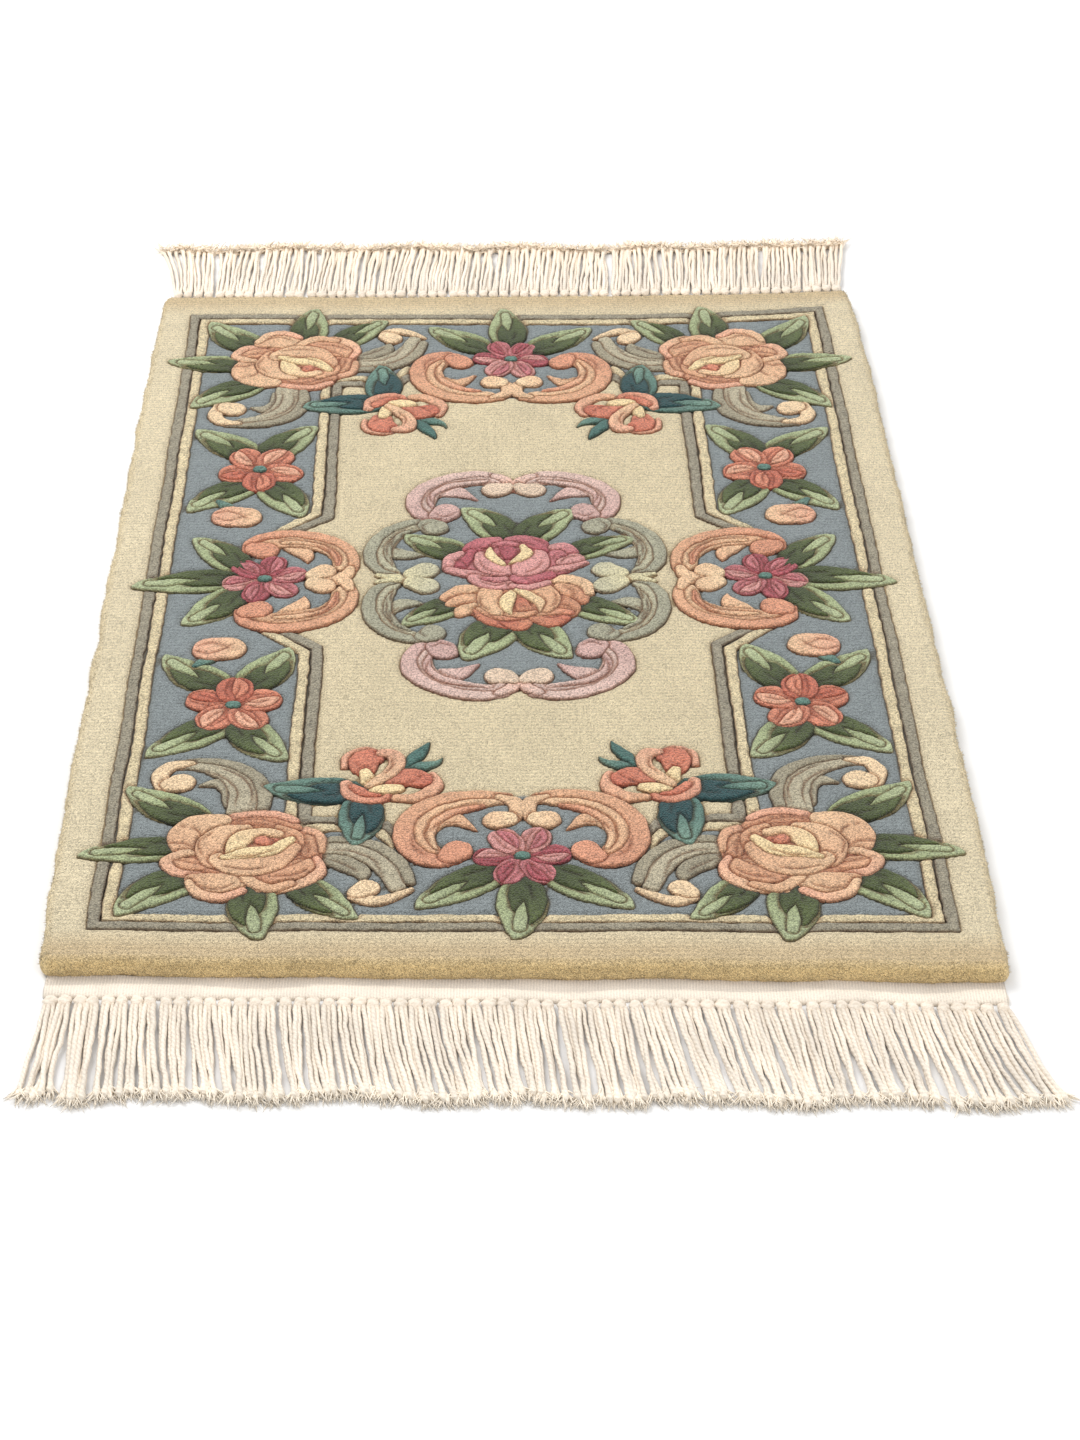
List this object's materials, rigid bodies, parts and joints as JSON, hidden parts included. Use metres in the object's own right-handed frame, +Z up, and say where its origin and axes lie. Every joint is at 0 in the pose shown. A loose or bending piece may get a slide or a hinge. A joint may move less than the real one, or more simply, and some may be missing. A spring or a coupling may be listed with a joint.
{
  "type": "chinese rug",
  "caption": "Small rectangular Chinese rug with carved floral wool pile, a scrolled medallion, banded border, flat-woven ends and a knotted cotton fringe at each end.",
  "frame": {"origin": "centre of the rug's flat underside, on the floor", "axes": "+Z up through the pile, +Y along the rug towards the far fringe, +X across the rug to the right as seen from the near fringe"},
  "size_m": [0.6236, 1.139, 0.0174],
  "materials": {
    "wool_pile": "matt cut wool pile, carved along the outlines of its pattern",
    "woven_cotton": "matt ribbed cotton weave",
    "fringe_cotton": "matt twisted cotton yarn"
  },
  "bodies": {
    "root": {"pile": "wool_pile", "web_near": "woven_cotton", "web_far": "woven_cotton", "fringe_near": "fringe_cotton", "fringe_far": "fringe_cotton"}
  },
  "joints": []
}
